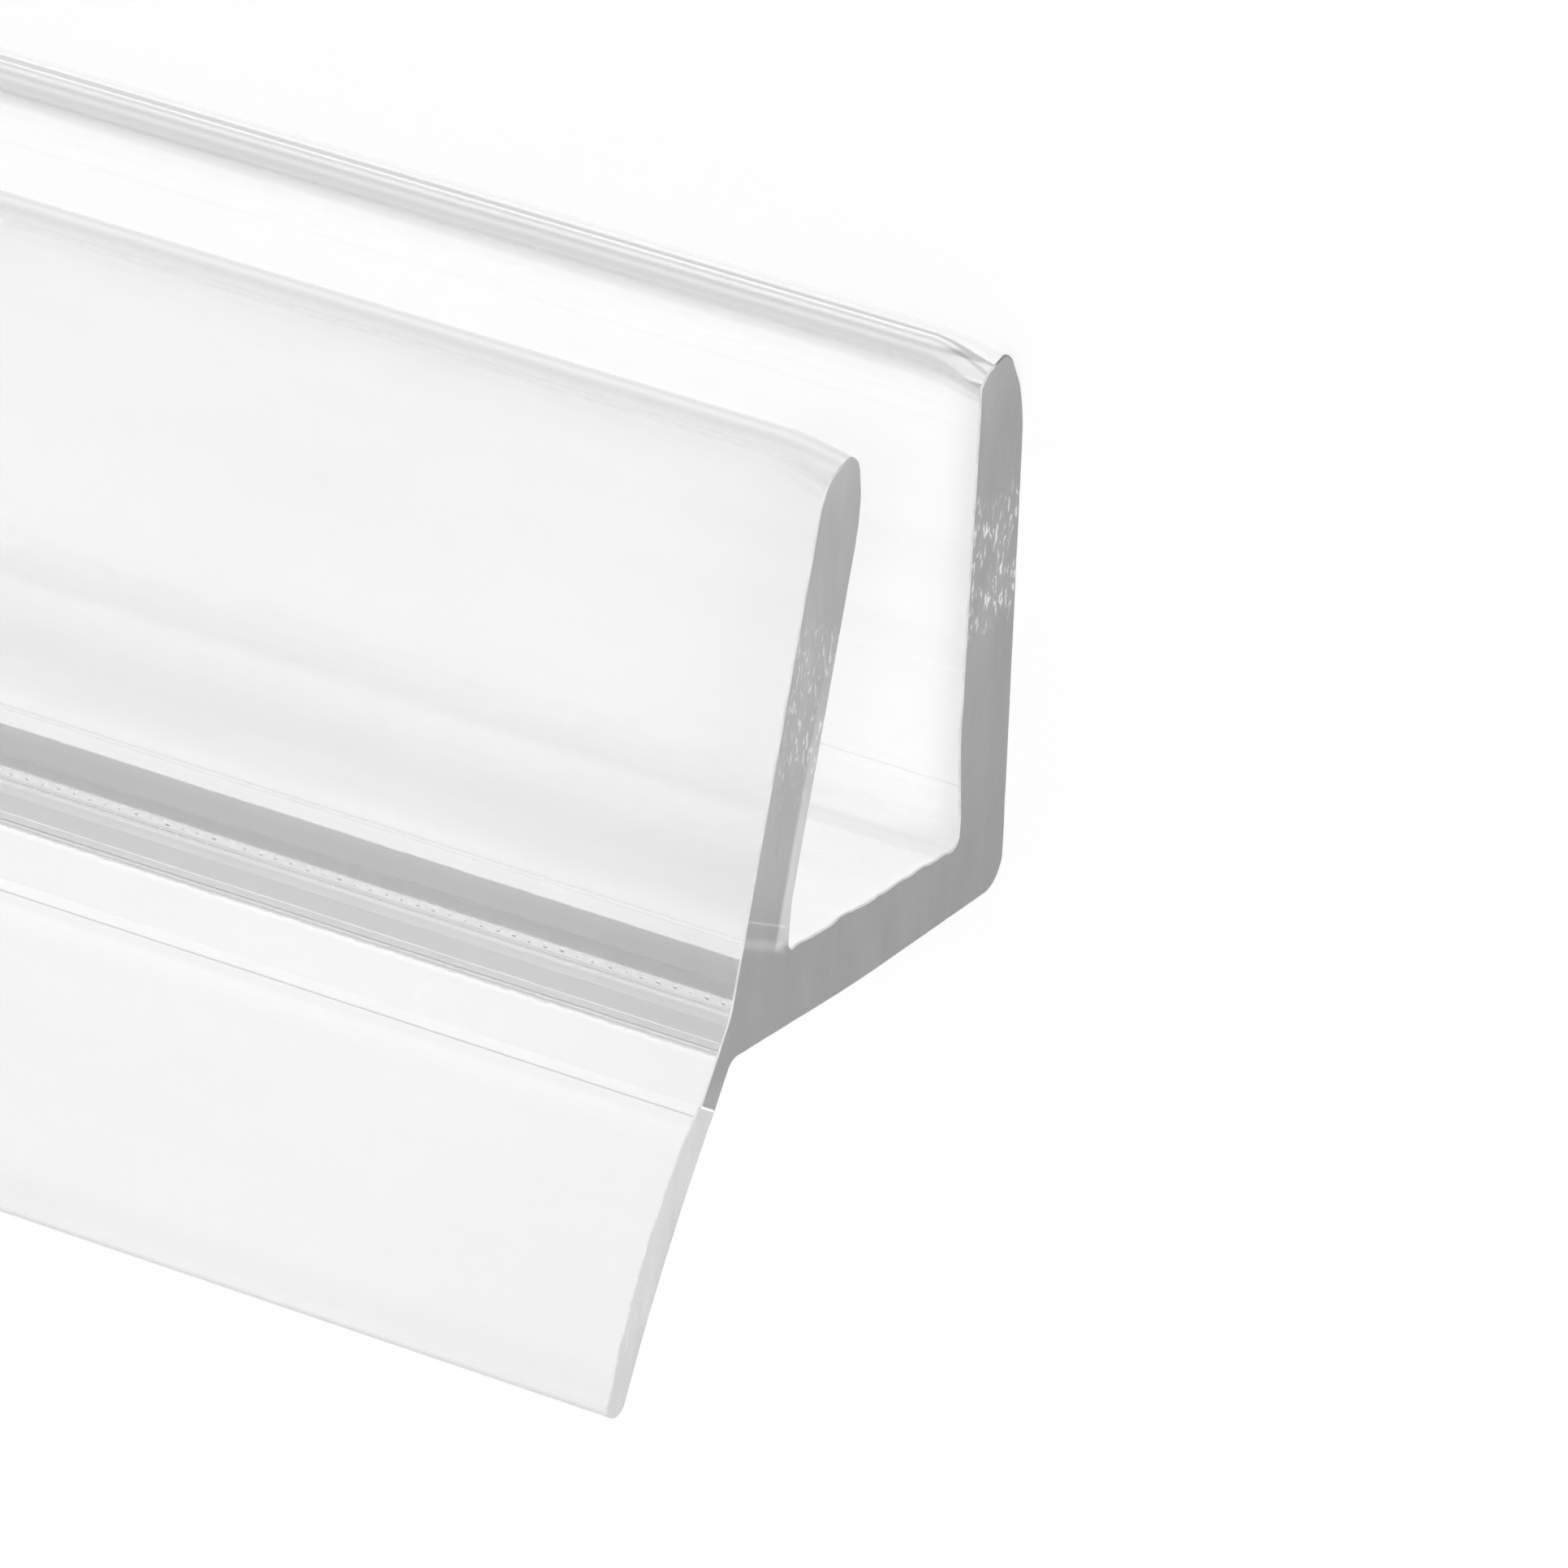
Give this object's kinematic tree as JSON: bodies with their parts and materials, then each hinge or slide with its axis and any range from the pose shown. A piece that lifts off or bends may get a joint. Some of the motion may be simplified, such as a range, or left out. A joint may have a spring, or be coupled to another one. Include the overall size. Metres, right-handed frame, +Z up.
{
  "type": "shower door seal strip",
  "caption": "Clear plastic channel strip that pushes on to the bottom edge of a glass shower door, with a soft fin along one side that wipes the tray and sheds water.",
  "frame": {"origin": "under the middle of the strip, on the surface that it lies on", "axes": "+X along the strip, +Z up, and the slot for the glass opens towards -Y with the fin on the +Y side"},
  "size_m": [0.6, 0.0234, 0.0186],
  "materials": {
    "hard_clear_pvc": "clear, glossy, sawn grey at the cut ends",
    "soft_clear_pvc": "clear, slightly milky, soft gloss"
  },
  "bodies": {
    "root": {"u_channel": "hard_clear_pvc", "drip_fin": "soft_clear_pvc"}
  },
  "joints": []
}
